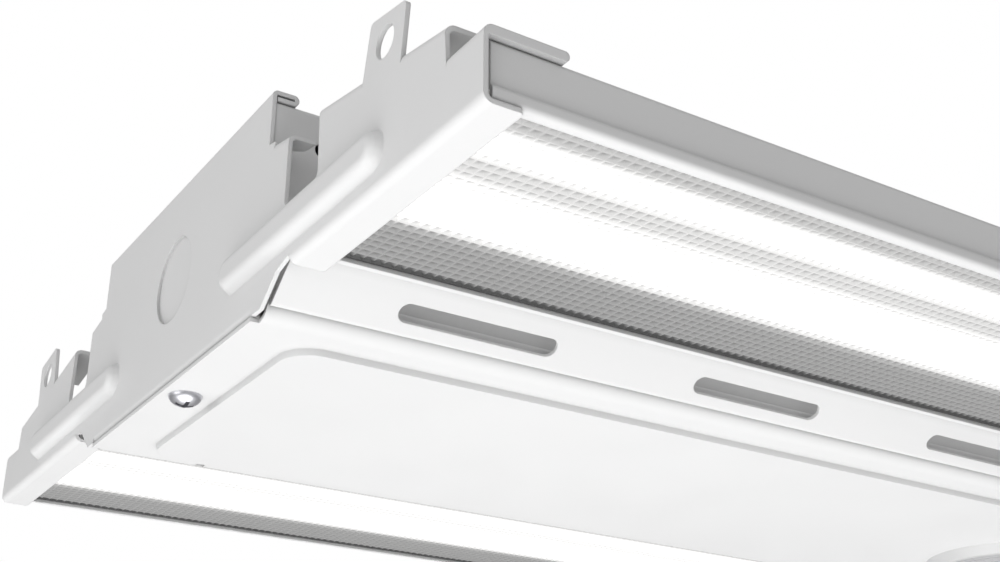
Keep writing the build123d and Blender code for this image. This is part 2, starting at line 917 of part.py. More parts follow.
def led_cable():
    # driver, across the housing, over the air gap and down through the pan to the first connector
    inner = rows()[0]
    points = [
        (driver_left - terminal_proud, driver_pole, wire_z),
        (-cable_x, driver_pole, wire_z),
        (-cable_x, cable_drop_y, wire_z),
        (-cable_x, cable_drop_y, connector_z),
        (-cable_x, inner - connector_width / 2, connector_z),
    ]
    return wire(points, cable_radius, (cable_turn, cable_turn, cable_dip_turn))


def bushing(place, axis):
    # a snap bushing: its flange lies on the sheet and its neck goes through
    inward = Vector(*axis)
    start = Vector(*place)
    body = rod(start, inward * -1, bushing_flange, bushing_flange_height)
    body += rod(start, inward, bushing_radius - hole_clearance, sheet + bushing_tail)
    bore_start = start - inward * (2 * bushing_flange_height)
    return body - rod(bore_start, inward, cable_radius + wire_clearance, 4 * bushing_flange_height)


def wire_bushings():
    wall = bushing((-cable_x, housing_width / 2, wire_z), (0, -1, 0))
    top = bushing((-cable_x, cable_drop_y, pan_top), (0, 0, -1))
    return [*both_sides(wall), *both_sides(top)]


# Sensor


def turned(points, rounds=()):
    # a piece turned about the sensor's axis; points are radius and height
    return revolve(Plane.XZ * outline(points, rounds), axis=Axis.Z)


def sensor_seat():
    # the underside of the cover's embossed panel
    return cover_z - panel_drop


def sensor_face():
    # where the body's lower edge meets the dome's rim
    return dome_drop + lens_recess + lens_rim_height


def sensor_top():
    return sensor_face() + sensor_height


def sensor_bezel():
    points = [
        (sensor_radius + hole_clearance, sensor_seat()),
        (sensor_radius + hole_clearance, sensor_face()),
        (lens_rim_radius + hole_clearance, sensor_face()),
        (lens_rim_radius + hole_clearance, dome_drop),
        (bezel_tip_radius, dome_drop),
        (bezel_radius, sensor_seat()),
    ]
    return turned(points, [(4, bezel_round), (3, bezel_round / 2)])


def sensor_lens():
    # a shallow dome of even thickness with a thicker rim
    rim = dome_drop + lens_recess
    ball = (lens_rim_radius**2 + rim**2) / (2 * rim)
    middle = Pos(0, 0, ball)
    plug = rod((0, 0, 0), (0, 0, 1), lens_rim_radius, rim + lens_rim_height)
    hollow = rod((0, 0, 0), (0, 0, 1), lens_rim_radius - 2 * dome_thickness, rim + 2 * lens_rim_height)
    bowl = plug & (middle * Sphere(ball))
    return bowl - (hollow & (middle * Sphere(ball - dome_thickness)))


def sensor_body():
    ledge_z = sensor_face() + sensor_board_drop + board_thickness
    inner = sensor_radius - sensor_wall
    top = sensor_top()
    points = [
        (inner, sensor_face()),
        (sensor_radius, sensor_face()),
        (sensor_radius, top),
        (0, top),
        (0, top - sensor_wall),
        (inner - ledge_width, top - sensor_wall),
        (inner - ledge_width, ledge_z),
        (inner, ledge_z),
    ]
    return turned(points)


def sensor_nut():
    seat = sensor_seat() + sheet
    ring = extrude(Pos(0, 0, seat) * RegularPolygon(nut_radius, nut_sides), amount=nut_height)
    return ring - rod((0, 0, seat - sheet), (0, 0, 1), sensor_radius + hole_clearance, nut_height + 2 * sheet)


def sensor_board():
    low = sensor_face() + sensor_board_drop
    return rod((0, 0, low), (0, 0, 1), sensor_board_radius, board_thickness)


def sensor_detector():
    low = sensor_face() + sensor_board_drop - detector_height
    return rod((0, 0, low), (0, 0, 1), detector_radius, detector_height)


def build():
    inner, outer = rows()
    parts = {}
    plate = end_plate()
    parts["end_plate_left"] = plate
    parts["end_plate_right"] = mirror(plate, about=Plane.YZ)
    for name, shape in (("wing_pan", wing_pan()), ("vent_panel", vent_panel()), ("lens", lens())):
        rear, front = both_sides(shape)
        parts[name + "_rear"] = rear
        parts[name + "_front"] = front
    for row, y in (("inner", inner), ("outer", outer)):
        parts["led_board_rear_" + row], parts["led_board_front_" + row] = both_sides(led_board(y))
    parts["led_chips_rear"] = led_chips(inner) + led_chips(outer)
    parts["led_chips_front"] = led_chips(-inner) + led_chips(-outer)
    all_rows = (-outer, -inner, inner, outer)
    parts["board_screws"] = [item for y in all_rows for item in board_screws(y)]
    parts["board_connectors"] = [board_connector(y) for y in all_rows]
    parts["board_jumpers"] = list(both_sides(board_jumper()))
    parts["driver_housing"] = driver_housing()
    parts["driver_cover"] = driver_cover()
    cover_screw_x = half - cover_screw_inset
    parts["cover_screws"] = [cover_screw(-cover_screw_x), cover_screw(cover_screw_x)]
    parts["driver_case"] = driver_case()
    parts["driver_base"] = driver_base()
    parts["driver_screws"] = driver_screws()
    parts["driver_board"] = driver_board()
    parts["driver_posts"] = driver_posts()
    parts["driver_terminals"] = driver_terminals()
    parts["driver_capacitors"] = driver_capacitors()
    parts["driver_core"] = driver_core()
    parts["driver_coil"] = driver_coil()
    parts["terminal_block"] = terminal_block()
    parts["terminal_block_screws"] = block_screws()
    parts["mains_wires"] = mains_wires()
    parts["sensor_wire"] = sensor_wire()
    parts["ground_wire"] = ground_wire()
    parts["ground_screw"] = ground_screw()
    parts["led_cable_rear"], parts["led_cable_front"] = both_sides(led_cable())
    parts["wire_bushings"] = wire_bushings()
    parts["sensor_bezel"] = sensor_bezel()
    parts["sensor_lens"] = sensor_lens()
    parts["sensor_body"] = sensor_body()
    parts["sensor_nut"] = sensor_nut()
    parts["sensor_board"] = sensor_board()
    parts["sensor_detector"] = sensor_detector()
    return parts


os.makedirs("parts", exist_ok=True)
for node, shape in build().items():
    solids = shape if isinstance(shape, list) else [shape]
    group = Compound(children=[solid for item in solids for solid in item.solids()])
    export_step(group, "parts/" + node + ".step")
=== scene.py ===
import json

import bpy
from mathutils import Matrix, Vector


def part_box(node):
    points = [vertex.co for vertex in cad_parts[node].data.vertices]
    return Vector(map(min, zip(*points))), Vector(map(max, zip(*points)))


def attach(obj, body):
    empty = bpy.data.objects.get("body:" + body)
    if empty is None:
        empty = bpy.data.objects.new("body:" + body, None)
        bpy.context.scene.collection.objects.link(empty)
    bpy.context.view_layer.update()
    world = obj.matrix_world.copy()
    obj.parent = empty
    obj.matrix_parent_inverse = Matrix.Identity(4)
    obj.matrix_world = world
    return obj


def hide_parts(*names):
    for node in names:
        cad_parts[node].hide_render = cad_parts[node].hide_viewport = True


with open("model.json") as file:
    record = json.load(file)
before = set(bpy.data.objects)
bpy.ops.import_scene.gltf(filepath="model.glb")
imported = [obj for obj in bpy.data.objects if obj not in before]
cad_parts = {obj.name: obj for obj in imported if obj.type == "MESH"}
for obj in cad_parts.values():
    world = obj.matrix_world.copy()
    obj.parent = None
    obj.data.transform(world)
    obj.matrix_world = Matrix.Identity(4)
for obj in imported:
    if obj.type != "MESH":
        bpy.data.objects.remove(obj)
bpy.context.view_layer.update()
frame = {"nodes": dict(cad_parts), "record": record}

nodes = frame["nodes"]
mm = 0.001


# Camera

cameraSettings = {
    "place": (-402.2, -308.1, -106.9),  # millimetres, below and in front of the left end
    "right": (0.8397, -0.5430, 0.0),
    "up": (-0.2248, -0.3476, 0.9103),
    "forward": (0.4943, 0.7644, 0.4140),
    "lens": 51.0,
    "sensor": 36.0,
    "clip": (0.01, 50.0),
}


def makeCamera(settings):
    data = bpy.data.cameras.new("camera")
    data.lens = settings["lens"]
    data.sensor_width = settings["sensor"]
    data.clip_start, data.clip_end = settings["clip"]
    camera = bpy.data.objects.new("camera", data)
    bpy.context.scene.collection.objects.link(camera)
    right, up, forward = (Vector(settings[key]) for key in ("right", "up", "forward"))
    turn = Matrix((right, up, -forward)).transposed().to_4x4()
    camera.matrix_world = Matrix.Translation(Vector(settings["place"]) * mm) @ turn
    bpy.context.scene.camera = camera


makeCamera(cameraSettings)
bpy.context.scene.view_settings.view_transform = "Standard"
print("camera set")


# Node helpers for the materials


def newMaterial(name):
    material = bpy.data.materials.new(name)
    material.use_nodes = True
    tree = material.node_tree
    tree.nodes.clear()
    output = tree.nodes.new("ShaderNodeOutputMaterial")
    shader = tree.nodes.new("ShaderNodeBsdfPrincipled")
    tree.links.new(shader.outputs["BSDF"], output.inputs["Surface"])
    return material, tree, shader


def addNode(tree, kind, inputs=None, **settings):
    node = tree.nodes.new(kind)
    for key, value in settings.items():
        setattr(node, key, value)
    for key, value in (inputs or {}).items():
        if hasattr(value, "node"):
            tree.links.new(value, node.inputs[key])
        else:
            node.inputs[key].default_value = value
    return node


def objectPoints(tree):
    return addNode(tree, "ShaderNodeTexCoord").outputs["Object"]


def noise(tree, points, scale, detail=3.0, roughness=0.55):
    inputs = {"Vector": points, "Scale": scale, "Detail": detail, "Roughness": roughness}
    return addNode(tree, "ShaderNodeTexNoise", inputs).outputs["Fac"]


def ramp(tree, value, low, high, start, stop):
    # maps a value from low..high to start..stop
    inputs = {"Value": value, "From Min": low, "From Max": high, "To Min": start, "To Max": stop}
    return addNode(tree, "ShaderNodeMapRange", inputs, clamp=True).outputs["Result"]


noiseRange = (0.3, 0.7)  # where most values of a noise lie


def noiseRamp(tree, cloud, start, stop):
    # maps the usual range of a noise to start..stop
    return ramp(tree, cloud, *noiseRange, start, stop)


def mixColour(tree, factor, first, second, blend="MIX"):
    node = addNode(tree, "ShaderNodeMix", data_type="RGBA", blend_type=blend)
    for socket, value in zip((node.inputs[0], node.inputs[6], node.inputs[7]), (factor, first, second)):
        if hasattr(value, "node"):
            tree.links.new(value, socket)
        else:
            socket.default_value = value
    return node.outputs[2]


def bump(tree, height, strength, distance, normal=None):
    inputs = {"Height": height, "Strength": strength, "Distance": distance}
    if normal is not None:
        inputs["Normal"] = normal
    return addNode(tree, "ShaderNodeBump", inputs).outputs["Normal"]


def math2(tree, operation, first, second):
    node = addNode(tree, "ShaderNodeMath", operation=operation)
    for socket, value in zip(node.inputs, (first, second)):
        if hasattr(value, "node"):
            tree.links.new(value, socket)
        else:
            socket.default_value = value
    return node.outputs[0]


def occlusion(tree, reach, samples):
    # 1 in the open, less where other surfaces stand near
    return addNode(tree, "ShaderNodeAmbientOcclusion", {"Distance": reach}, samples=samples).outputs["AO"]


def gray(level):
    return (level, level, level, 1.0)


# Materials

sheetPaint = {
    # gray levels of the paint, of the painted shade in the hollows and of the painted highlight on the
    # folds
    "tone": 0.86,
    "shade": 0.48,
    "foldHighlight": 0.92,
    "drift": (9.0, 0.985),
    "driftRange": (0.35, 0.65),
    "cloud": 60.0,
    "roughness": (0.40, 0.54),
    "specular": 0.22,
    "orangePeel": (900.0, 0.12, 0.00004),
    "speckle": (5200.0, 0.08, 0.00001),
    "hollowShade": 0.85,
    "shadeReach": 0.006,
    "shadeRange": (0.38, 0.90),
    "edgeHighlight": 0.7,
    "edgeRound": 0.0004,
    "edgeRange": (0.80, 0.985),
    "samples": 6,
}


def paintedSheet(name, settings):
    # powder coat with orange peel and fine speckle, painted shade in the hollows and a painted highlight on
    # the folds
    material, tree, shader = newMaterial(name)
    points = objectPoints(tree)
    samples = settings["samples"]
    scale, change = settings["drift"]
    drift = noise(tree, points, scale, 2.0)
    cloud = noise(tree, points, settings["cloud"], 4.0)
    tone = settings["tone"]
    drifted = ramp(tree, drift, *settings["driftRange"], 0.0, 1.0)
    base = mixColour(tree, drifted, gray(tone), gray(tone * change))
    # painted shade: the paint turns toward the shade gray where other surfaces stand near, in hollows, gaps
    # and under folds
    openness = occlusion(tree, settings["shadeReach"], samples)
    hollow = ramp(tree, openness, *settings["shadeRange"], settings["hollowShade"], 0.0)
    base = mixColour(tree, hollow, base, gray(settings["shade"]))
    # painted highlight: edges and fold radii are painted lighter, toward the highlight gray
    edges = addNode(tree, "ShaderNodeBevel", {"Radius": settings["edgeRound"]}, samples=samples)
    rounded = edges.outputs["Normal"]
    flat = addNode(tree, "ShaderNodeNewGeometry").outputs["Normal"]
    match = addNode(tree, "ShaderNodeVectorMath", {0: rounded, 1: flat}, operation="DOT_PRODUCT")
    ridge = ramp(tree, match.outputs["Value"], *settings["edgeRange"], settings["edgeHighlight"], 0.0)
    base = mixColour(tree, ridge, base, gray(settings["foldHighlight"]))
    tree.links.new(base, shader.inputs["Base Color"])
    low, high = settings["roughness"]
    tree.links.new(noiseRamp(tree, cloud, low, high), shader.inputs["Roughness"])
    shader.inputs["Specular IOR Level"].default_value = settings["specular"]
    scale, strength, distance = settings["orangePeel"]
    peel = bump(tree, noise(tree, points, scale, 1.5), strength, distance, rounded)
    scale, strength, distance = settings["speckle"]
    grain = bump(tree, noise(tree, points, scale, 1.0), strength, distance, peel)
    tree.links.new(grain, shader.inputs["Normal"])
    return material


plainFinishes = {
    # name: colour, roughness, metallic, grain scale, bump distance, colour change
    "boardWhite": ((0.86, 0.87, 0.84), 0.42, 0.0, 700.0, 0.00002, 0.06),
    "nylonWhite": ((0.78, 0.77, 0.73), 0.50, 0.0, 900.0, 0.00003, 0.05),
    "driverEnamel": ((0.62, 0.63, 0.64), 0.38, 0.0, 500.0, 0.00004, 0.07),
    "boardGreen": ((0.03, 0.20, 0.08), 0.35, 0.0, 300.0, 0.00004, 0.25),
    "nylonBlack": ((0.03, 0.03, 0.033), 0.48, 0.0, 800.0, 0.00003, 0.20),
    "ferrite": ((0.06, 0.06, 0.065), 0.62, 0.0, 1500.0, 0.00005, 0.30),
    "coilTape": ((0.72, 0.50, 0.08), 0.35, 0.0, 250.0, 0.00005, 0.15),
    "canAluminium": ((0.75, 0.76, 0.78), 0.28, 1.0, 600.0, 0.00002, 0.08),
    "wireBlack": ((0.025, 0.025, 0.027), 0.40, 0.0, 1200.0, 0.00003, 0.20),
    "wireWhite": ((0.80, 0.80, 0.79), 0.42, 0.0, 1200.0, 0.00003, 0.05),
    "wireGreen": ((0.03, 0.30, 0.09), 0.40, 0.0, 1200.0, 0.00003, 0.15),
    "greenZinc": ((0.10, 0.42, 0.20), 0.30, 0.9, 900.0, 0.00003, 0.15),
    "brightZinc": ((0.78, 0.78, 0.82), 0.40, 1.0, 1400.0, 0.00003, 0.12),
    "sensorPlastic": ((0.66, 0.66, 0.66), 0.36, 0.0, 1100.0, 0.00002, 0.03),
    "milkyDome": ((0.52, 0.52, 0.53), 0.30, 0.0, 700.0, 0.00002, 0.04),
}

# a cloud's scale and the gloss are shares of a finish's own grain scale and roughness
finishShares = {"cloud": 0.08, "gloss": (0.85, 1.2), "bump": 0.4}

# painted shade in the hollows: its reach, the open range, how much of it and how dark it gets
hollows = {"reach": 0.003, "open": (0.40, 0.85), "shadeShare": 0.6, "darkening": 0.5, "samples": 6}


def plainFinish(name, colour, rough, metal, grain, depth, change):
    # one colour with cloudy change, uneven gloss, painted shade in the hollows and a fine moulded or rolled
    # grain
    material, tree, shader = newMaterial(name)
    points = objectPoints(tree)
    cloud = noise(tree, points, grain * finishShares["cloud"], 4.0)
    fine = noise(tree, points, grain, 2.0)
    darker = tuple(c * (1 - change) for c in colour) + (1.0,)
    base = mixColour(tree, noiseRamp(tree, cloud, 0.0, 1.0), (*colour, 1.0), darker)
    # painted shade: each finish darkens where other surfaces stand near, as contact shadow in hollows and
    # along joints
    shadedColour = tuple(c * hollows["darkening"] for c in colour) + (1.0,)
    openness = occlusion(tree, hollows["reach"], hollows["samples"])
    base = mixColour(tree, ramp(tree, openness, *hollows["open"], hollows["shadeShare"], 0.0), base, shadedColour)
    tree.links.new(base, shader.inputs["Base Color"])
    gloss = [rough * share for share in finishShares["gloss"]]
    tree.links.new(noiseRamp(tree, cloud, *gloss), shader.inputs["Roughness"])
    shader.inputs["Metallic"].default_value = metal
    tree.links.new(bump(tree, fine, finishShares["bump"], depth), shader.inputs["Normal"])
    return material


finishes = {name: plainFinish(name, *row) for name, row in plainFinishes.items()}
finishes["sheetPaint"] = paintedSheet("sheetPaint", sheetPaint)

chipGlow = {
    "colour": (1.0, 0.985, 0.96),
    "strength": (2.88, 3.0),
    "phosphor": (0.9, 0.82, 0.45),
    "roughness": 0.4,
    "grain": 900.0,
}

# painted light: how the light of each row of chips spills onto the board
rowPaintedLight = {
    "rows": (0.0935, 0.1185),  # metres from the middle to each row of chips
    "colour": (1.0, 0.99, 0.975),
    "strength": 1.5,
    "rest": 0.25,
    "reach": (0.0045, 0.0095),
    "mask": ((0.86, 0.87, 0.84), (0.80, 0.81, 0.79)),
    "roughness": (0.36, 0.5),
    "scales": (90.0, 700.0),
    "grain": (0.4, 0.00002),
}


def glowMaterial(name, settings):
    # lit phosphor, slightly uneven
    material, tree, shader = newMaterial(name)
    points = objectPoints(tree)
    shader.inputs["Base Color"].default_value = (*settings["phosphor"], 1.0)
    shader.inputs["Roughness"].default_value = settings["roughness"]
    cloud = noise(tree, points, settings["grain"])
    level = noiseRamp(tree, cloud, *settings["strength"])
    shader.inputs["Emission Color"].default_value = (*settings["colour"], 1.0)
    tree.links.new(level, shader.inputs["Emission Strength"])
    return material


def paintedLightBoard(name, settings):
    # white solder mask with painted light, brightest along its row of chips where their light spills onto
    # the board
    material, tree, shader = newMaterial(name)
    points = objectPoints(tree)
    broad, fine = settings["scales"]
    cloud = noise(tree, points, broad, 4.0)
    light, dark = ((*tone, 1.0) for tone in settings["mask"])
    base = mixColour(tree, noiseRamp(tree, cloud, 0.0, 1.0), light, dark)
    tree.links.new(base, shader.inputs["Base Color"])
    tree.links.new(noiseRamp(tree, cloud, *settings["roughness"]), shader.inputs["Roughness"])
    grain = bump(tree, noise(tree, points, fine, 2.0), *settings["grain"])
    tree.links.new(grain, shader.inputs["Normal"])
    across = addNode(tree, "ShaderNodeSeparateXYZ", {"Vector": points}).outputs["Y"]
    side = math2(tree, "ABSOLUTE", across, 0.0)
    gaps = [math2(tree, "ABSOLUTE", math2(tree, "SUBTRACT", side, row), 0.0) for row in settings["rows"]]
    away = math2(tree, "MINIMUM", *gaps)
    # painted light: the board glows most next to its row of chips
    level = ramp(tree, away, *settings["reach"], settings["strength"], settings["rest"])
    shader.inputs["Emission Color"].default_value = (*settings["colour"], 1.0)
    tree.links.new(level, shader.inputs["Emission Strength"])
    return material


finishes["chipGlow"] = glowMaterial("chipGlow", chipGlow)
finishes["paintedLightBoard"] = paintedLightBoard("paintedLightBoard", rowPaintedLight)

slotFinishes = {
    "white_sheet": "sheetPaint",
    "board_white": "paintedLightBoard",
    "chip": "chipGlow",
    "zinc": "brightZinc",
    "connector_white": "nylonWhite",
    "driver_metal": "driverEnamel",
    "board_green": "boardGreen",
    "black_plastic": "nylonBlack",
    "ferrite": "ferrite",
    "coil": "coilTape",
    "can": "canAluminium",
    "wire_black": "wireBlack",
    "wire_white": "wireWhite",
    "wire_green": "wireGreen",
    "green_zinc": "greenZinc",
    "sensor_white": "sensorPlastic",
    "sensor_dome": "milkyDome",
    "lens_acrylic": "boardWhite",
}

for entry in frame["record"]["subparts"]:
    data = nodes[entry["node"]].data
    data.materials.clear()
    data.materials.append(finishes[slotFinishes[entry["material_slot"]]])
print("CAD nodes finished:", len(nodes))


# Making and keeping pieces


def deselectAll():
    if bpy.context.object and bpy.context.object.mode != "OBJECT":
        bpy.ops.object.mode_set(mode="OBJECT")
    bpy.ops.object.select_all(action="DESELECT")


def keepPiece(piece, name, finish, slotName, *replaced):
    # the object's place goes into its mesh, and the piece gets its name and finish
    deselectAll()
    piece.select_set(True)
    bpy.context.view_layer.objects.active = piece
    bpy.ops.object.transform_apply(location=True, rotation=True, scale=True)
    piece.name = name
    piece.data.name = name
    piece.data.materials.clear()
    piece.data.materials.append(finishes[finish])
    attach(piece, "root")
    if replaced:
        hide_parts(*replaced)


# Prismatic lenses

lensPrisms = {"pitch": 2.4, "depth": 0.55}

lensPaintedLight = {
    # painted light: distance in millimetres from the lens edge on the -Y side, and how bright the lens's
    # painted glow is there, with none where each lens has its own brightness in the middle
    "stops": (
        (0.0, 0.26), (6.0, 0.30), (9.5, 0.93), (13.0, 1.0), (16.4, 0.93), (18.2, None), (23.2, None),
        (29.5, 0.95), (37.0, 1.0), (44.5, 0.90), (48.0, 0.22), (51.0, 0.13), (63.5, 0.11), (65.0, 0.0),
    ),
    "strength": 1.25,
    "colour": (1.0, 0.992, 0.98),
    # how bright the painted light on the strip between the two rows of chips is
    "middle": {"prismLensFront": 0.43, "prismLensRear": 0.66},
    # each prism's dark spot of painted shade lies along this direction
    "lie": (0.84, -0.54),
    "squeeze": (0.75, 1.5),
    "spot": (0.06, 0.54),
    "line": (0.38, 0.47),
    # painted light and shade in each prism: how much the glow dims in the spot, the base gray, the spot's
    # gray and the lighter lines' gray
    "dimming": 0.40,
    "pale": 0.19,
    "dark": 0.12,
    "lineTone": 0.24,
    # a strip of painted shade along the inner edge, and its gray
    "edgeShade": (64.5, 65.4),
    "edgeTone": 0.06,
    "roughness": (0.22, 0.32),
    "ripple": (300.0, 0.15, 0.00002),
    "cloud": (45.0, 0.12, 0.8),
}


def cellOffset(tree, value, start, pitch):
    # how far a point is from the middle of its prism, from -0.5 to 0.5
    place = math2(tree, "DIVIDE", math2(tree, "SUBTRACT", value, start), pitch)
    return math2(tree, "SUBTRACT", math2(tree, "FRACT", place, 0.0), 0.5)


def weighted(tree, offsets, weights):
    # the absolute sum of two offsets, each with its weight
    parts = [math2(tree, "MULTIPLY", offset, weight) for offset, weight in zip(offsets, weights)]
    return math2(tree, "ABSOLUTE", math2(tree, "ADD", *parts), 0.0)


def paintedLightAcrylic(name, settings, edge, span, starts):
    # acrylic with painted light: glowing bands along the rows of chips, a dark base of painted shade, a
    # darker spot in each prism and lighter painted lines between the prisms
    material, tree, shader = newMaterial(name)
    points = objectPoints(tree)
    split = addNode(tree, "ShaderNodeSeparateXYZ", {"Vector": points})
    pitch = lensPrisms["pitch"] * mm
    offsets = [cellOffset(tree, split.outputs[axis], start, pitch) for axis, start in zip("XY", starts)]
    along, across = settings["lie"]
    longer, wider = settings["squeeze"]
    lengthwise = weighted(tree, offsets, (along * longer, across * longer))
    sideways = weighted(tree, offsets, (-across * wider, along * wider))
    low, high = settings["spot"]
    spot = ramp(tree, math2(tree, "ADD", lengthwise, sideways), low, high, 1.0, 0.0)
    low, high = settings["line"]
    sides = [math2(tree, "ABSOLUTE", offset, 0.0) for offset in offsets]
    line = ramp(tree, math2(tree, "MAXIMUM", *sides), low, high, 0.0, 1.0)
    scale, share, fade = settings["cloud"]
    cloud = noise(tree, points, scale, 3.0)
    step = math2(tree, "MULTIPLY", math2(tree, "SUBTRACT", split.outputs["Y"], edge), 1 / span)
    bands = addNode(tree, "ShaderNodeValToRGB", {"Fac": step})
    stops = bands.color_ramp.elements
    for k, (place, level) in enumerate(settings["stops"]):
        stop = stops[k] if k < 2 else stops.new(1.0)
        stop.position = place * mm / span
        stop.color = gray(settings["middle"][name] if level is None else level)
    # painted light: the lens glows in bands and glows less in each prism's spot
    dim = ramp(tree, spot, 0.0, 1.0, settings["strength"], settings["strength"] * (1 - settings["dimming"]))
    shader.inputs["Emission Color"].default_value = (*settings["colour"], 1.0)
    tree.links.new(math2(tree, "MULTIPLY", bands.outputs["Color"], dim), shader.inputs["Emission Strength"])
    # painted shade: a dark base, darker in each prism's spot and lighter along the prism lines
    pale = settings["pale"]
    base = mixColour(tree, spot, gray(pale), gray(settings["dark"]))
    base = mixColour(tree, line, base, gray(settings["lineTone"]))
    base = mixColour(tree, noiseRamp(tree, cloud, 0.0, share), base, gray(pale * fade))
    # painted shade: a dark strip along the inner edge, where the lip's face lies in shadow
    first, last = settings["edgeShade"]
    shade = ramp(tree, step, first * mm / span, last * mm / span, 0.0, 1.0)
    tree.links.new(mixColour(tree, shade, base, gray(settings["edgeTone"])), shader.inputs["Base Color"])
    rough = settings["roughness"]
    tree.links.new(noiseRamp(tree, cloud, *rough), shader.inputs["Roughness"])
    scale, strength, distance = settings["ripple"]
    tree.links.new(bump(tree, noise(tree, points, scale), strength, distance), shader.inputs["Normal"])
    return material


def prismLens(name, node):
    # square hollow prisms pressed into the lower face, a plain border and a flat upper face
    low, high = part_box(node)
    pitch = lensPrisms["pitch"] * mm
    sizes = (high.x - low.x, high.y - low.y)
    counts = [int((size - pitch) / pitch) for size in sizes]
    middle = (low + high) / 2
    starts = [middle[axis] - counts[axis] * pitch / 2 for axis in (0, 1)]
    finishes[name] = paintedLightAcrylic(name, lensPaintedLight, low.y, sizes[1], starts)
    deselectAll()
    bpy.ops.mesh.primitive_grid_add(x_subdivisions=counts[0], y_subdivisions=counts[1], size=1.0)
    lens = bpy.context.object
    lens.scale = (counts[0] * pitch, counts[1] * pitch, 1.0)
    lens.location = (middle.x, middle.y, low.z)
    bpy.ops.object.transform_apply(location=True, rotation=True, scale=True)
    corners = len(lens.data.vertices)
    bpy.ops.object.mode_set(mode="EDIT")
    bpy.ops.mesh.select_all(action="SELECT")
    bpy.ops.mesh.poke()
    bpy.ops.mesh.select_all(action="DESELECT")
    bpy.ops.object.mode_set(mode="OBJECT")
    for vertex in lens.data.vertices[corners:]:
        vertex.co.z += lensPrisms["depth"] * mm
    # the border, then the sides and the upper face
    bpy.ops.object.mode_set(mode="EDIT")
    bpy.ops.mesh.select_mode(type="EDGE")
    bpy.ops.mesh.select_non_manifold()
    bpy.ops.mesh.extrude_edges_move()
    spread = (sizes[0] / (counts[0] * pitch), sizes[1] / (counts[1] * pitch), 1.0)
    bpy.ops.transform.resize(value=spread, center_override=(middle.x, middle.y, low.z))
    bpy.ops.mesh.extrude_edges_move(TRANSFORM_OT_translate={"value": (0, 0, high.z - low.z)})
    bpy.ops.mesh.edge_face_add()
    bpy.ops.mesh.select_all(action="SELECT")
    bpy.ops.mesh.normals_make_consistent(inside=False)
    bpy.ops.object.mode_set(mode="OBJECT")
    keepPiece(lens, name, name, "lens_acrylic", node)


prismLens("prismLensFront", "lens_front")
prismLens("prismLensRear", "lens_rear")
print("lenses made")


# Cover screws

coverScrew = {
    "headRadius": 4.0,
    "headHeight": 2.6,
    "shankRadius": 2.0,
    "recessSpan": 4.6,
    "recessWidth": 1.0,
    "recessDepth": 1.5,
    "segments": 64,
    "rings": 40,
    "shankSegments": 32,
    "smoothAngle": 0.6,
}


def cutAway(piece, tool):
    # takes the tool's shape out of the piece and removes the tool
    deselectAll()
    bpy.context.view_layer.objects.active = piece
    piece.select_set(True)
    cut = piece.modifiers.new("cut", "BOOLEAN")
    cut.operation = "DIFFERENCE"
    cut.solver = "EXACT"
    cut.object = tool
    bpy.ops.object.modifier_apply(modifier="cut")
    bpy.data.objects.remove(tool, do_unlink=True)


def joinPieces(pieces):
    deselectAll()
    for piece in pieces:
        piece.select_set(True)
    bpy.context.view_layer.objects.active = pieces[0]
    bpy.ops.object.join()
    return bpy.context.object


def roundedScrew(place, seat, top):
    # a full dome of a head with a cross recess, and a plain shank up to its top
    radius = coverScrew["headRadius"] * mm
    height = coverScrew["headHeight"] * mm
    deselectAll()
    bpy.ops.mesh.primitive_uv_sphere_add(
        segments=coverScrew["segments"],
        ring_count=coverScrew["rings"],
        radius=radius,
        location=(place, 0, seat),
    )
    head = bpy.context.object
    head.scale = (1.0, 1.0, height / radius)
    bpy.ops.object.transform_apply(location=True, rotation=True, scale=True)
    bpy.ops.object.mode_set(mode="EDIT")
    bpy.ops.mesh.select_all(action="SELECT")
    bpy.ops.mesh.bisect(plane_co=(place, 0, seat), plane_no=(0, 0, 1), clear_outer=True, use_fill=True)
    bpy.ops.object.mode_set(mode="OBJECT")
    span = coverScrew["recessSpan"] * mm
    wide = coverScrew["recessWidth"] * mm
    deep = coverScrew["recessDepth"] * mm
    for sizes in ((span, wide), (wide, span)):
        deselectAll()
        bpy.ops.mesh.primitive_cube_add(size=1.0, location=(place, 0, seat - height))
        tool = bpy.context.object
        tool.scale = (*sizes, 2 * deep)
        bpy.ops.object.transform_apply(location=True, rotation=True, scale=True)
        cutAway(head, tool)
    deselectAll()
    shank = coverScrew["shankRadius"] * mm
    bpy.ops.mesh.primitive_cylinder_add(
        vertices=coverScrew["shankSegments"],
        radius=shank,
        depth=top - seat,
        location=(place, 0, (seat + top) / 2),
    )
    screw = joinPieces([head, bpy.context.object])
    bpy.ops.object.shade_smooth_by_angle(angle=coverScrew["smoothAngle"])
    return screw


screwLow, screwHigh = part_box("cover_screws")
screwSeat = screwLow.z + coverScrew["headHeight"] * mm
screwPlace = screwHigh.x - coverScrew["headRadius"] * mm
screws = [roundedScrew(place, screwSeat, screwHigh.z) for place in (-screwPlace, screwPlace)]
keepPiece(joinPieces(screws), "coverScrewHeads", "brightZinc", "zinc", "cover_screws")
print("cover screws made")


# Sensor lens

sensorFacets = {
    "segments": 40,
    "rings": 72,
    "groove": 0.16,
    "grooveWidth": 0.05,
    "grooveDepth": 0.10,
    "rim": 1.0,
}


